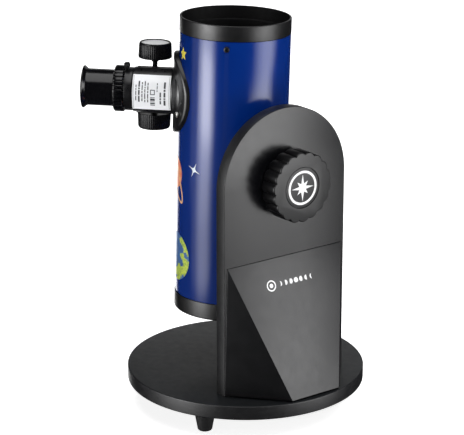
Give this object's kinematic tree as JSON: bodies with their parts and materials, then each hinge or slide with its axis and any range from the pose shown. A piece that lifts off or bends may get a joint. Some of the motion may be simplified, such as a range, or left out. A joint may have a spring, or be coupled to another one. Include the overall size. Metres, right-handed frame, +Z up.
{
  "type": "tabletop reflector telescope",
  "caption": "Tabletop Newtonian reflector: blue optical tube with a rack focuser, clamped by a knob to a one-armed turntable stand on rubber feet.",
  "frame": {"origin": "middle of the whole object's footprint, on the plane that its three rubber feet stand on", "axes": "+Z up, +X along the altitude axis from the tube towards the tension knob, +Y the way the tube's mouth leans at rest"},
  "size_m": [0.2377, 0.2224, 0.3617],
  "materials": {
    "black_board": "black lacquered fibreboard, fine pebbled texture",
    "tube_blue": "deep gloss blue enamel",
    "satin_black_plastic": "satin moulded black",
    "gloss_black_plastic": "gloss moulded black",
    "black_rubber": "matt",
    "zinc_steel": "zinc plated",
    "black_steel": "blackened steel",
    "white_nylon": "natural nylon",
    "mirror_coating": "aluminised front surface",
    "coated_glass": "coated, polished",
    "silver_label": "silver film",
    "badge_insert": "satin dark grey"
  },
  "bodies": {
    "ground_stand": {"ground_board": "black_board", "rubber_foot_1": "black_rubber", "rubber_foot_2": "black_rubber", "rubber_foot_3": "black_rubber", "glide_disc": "white_nylon", "azimuth_bolt": "zinc_steel", "azimuth_nut": "zinc_steel"},
    "turntable": {"base_disc": "black_board", "azimuth_bushing": "white_nylon", "side_arm": "black_board", "arm_brace": "satin_black_plastic", "arm_screw_1": "zinc_steel", "arm_screw_2": "zinc_steel", "brace_screw_1": "zinc_steel", "brace_screw_2": "zinc_steel", "altitude_bushing": "white_nylon"},
    "tension_knob": {"tension_knob": "satin_black_plastic", "knob_badge": "badge_insert", "tension_stud": "zinc_steel"},
    "tube_assembly": {"altitude_hub": "satin_black_plastic", "friction_pad": "black_rubber", "hub_screw_1": "zinc_steel", "hub_screw_2": "zinc_steel", "optical_tube": "tube_blue", "front_ring": "satin_black_plastic", "rear_cap": "satin_black_plastic", "mirror_cell": "satin_black_plastic", "primary_mirror": "mirror_coating", "collimation_screw_1": "zinc_steel", "collimation_screw_2": "zinc_steel", "collimation_screw_3": "zinc_steel", "spider": "satin_black_plastic", "spider_screw_1": "black_steel", "spider_screw_2": "black_steel", "spider_screw_3": "black_steel", "secondary_holder": "satin_black_plastic", "secondary_mirror": "mirror_coating", "secondary_bolt": "zinc_steel", "focuser_housing": "satin_black_plastic", "saddle_screw_1": "zinc_steel", "saddle_screw_2": "zinc_steel", "pinion_cover": "satin_black_plastic", "info_label": "silver_label"},
    "drawtube": {"drawtube": "satin_black_plastic", "rack": "satin_black_plastic", "eyepiece_collar": "satin_black_plastic"},
    "pinion": {"pinion_shaft": "black_steel", "focus_knob_upper": "gloss_black_plastic", "focus_knob_lower": "gloss_black_plastic", "knob_inlay_upper": "silver_label", "knob_inlay_lower": "silver_label"},
    "lock_screw": {"lock_thumbscrew": "black_steel"},
    "eyepiece": {"eyepiece_barrel": "zinc_steel", "eyepiece_body": "satin_black_plastic", "eyepiece_grip": "gloss_black_plastic", "field_lens": "coated_glass", "eye_lens": "coated_glass"}
  },
  "joints": [
    {"name": "azimuth_turn", "type": "hinge", "parent": "ground_stand", "child": "turntable", "pos_m": [0.00916, 0.00152, 0.0236], "axis": [0, 0, 1], "continuous": true},
    {"name": "altitude_tilt", "type": "hinge", "parent": "turntable", "child": "tube_assembly", "pos_m": [0.00916, 0.00152, 0.22557], "axis": [1, 0, 0], "range_deg": [-100, 100]},
    {"name": "tension_knob_turn", "type": "hinge", "parent": "turntable", "child": "tension_knob", "pos_m": [0.00916, 0.00152, 0.22557], "axis": [1, 0, 0], "range_deg": [0, 360]},
    {"name": "focus_slide", "type": "slide", "parent": "tube_assembly", "child": "drawtube", "axis": [-0.673, -0.7393, 0.0234], "range_m": [0, 0.025]},
    {"name": "pinion_turn", "type": "hinge", "parent": "tube_assembly", "child": "pinion", "pos_m": [-0.07956, -0.03661, 0.28991], "axis": [0, -0.0316, -0.9995], "range_deg": [0, 342]},
    {"name": "lock_screw_turn", "type": "hinge", "parent": "drawtube", "child": "lock_screw", "pos_m": [-0.07682, -0.06775, 0.29089], "axis": [0.2286, -0.1778, 0.9572], "range_deg": [0, 720]},
    {"name": "eyepiece_pull", "type": "slide", "parent": "drawtube", "child": "eyepiece", "axis": [-0.673, -0.7393, 0.0234], "range_m": [0, 0.03]}
  ],
  "couplings": [
    {"joint": "pinion_turn", "follows": "focus_slide", "rad_per_m": 238.1}
  ]
}
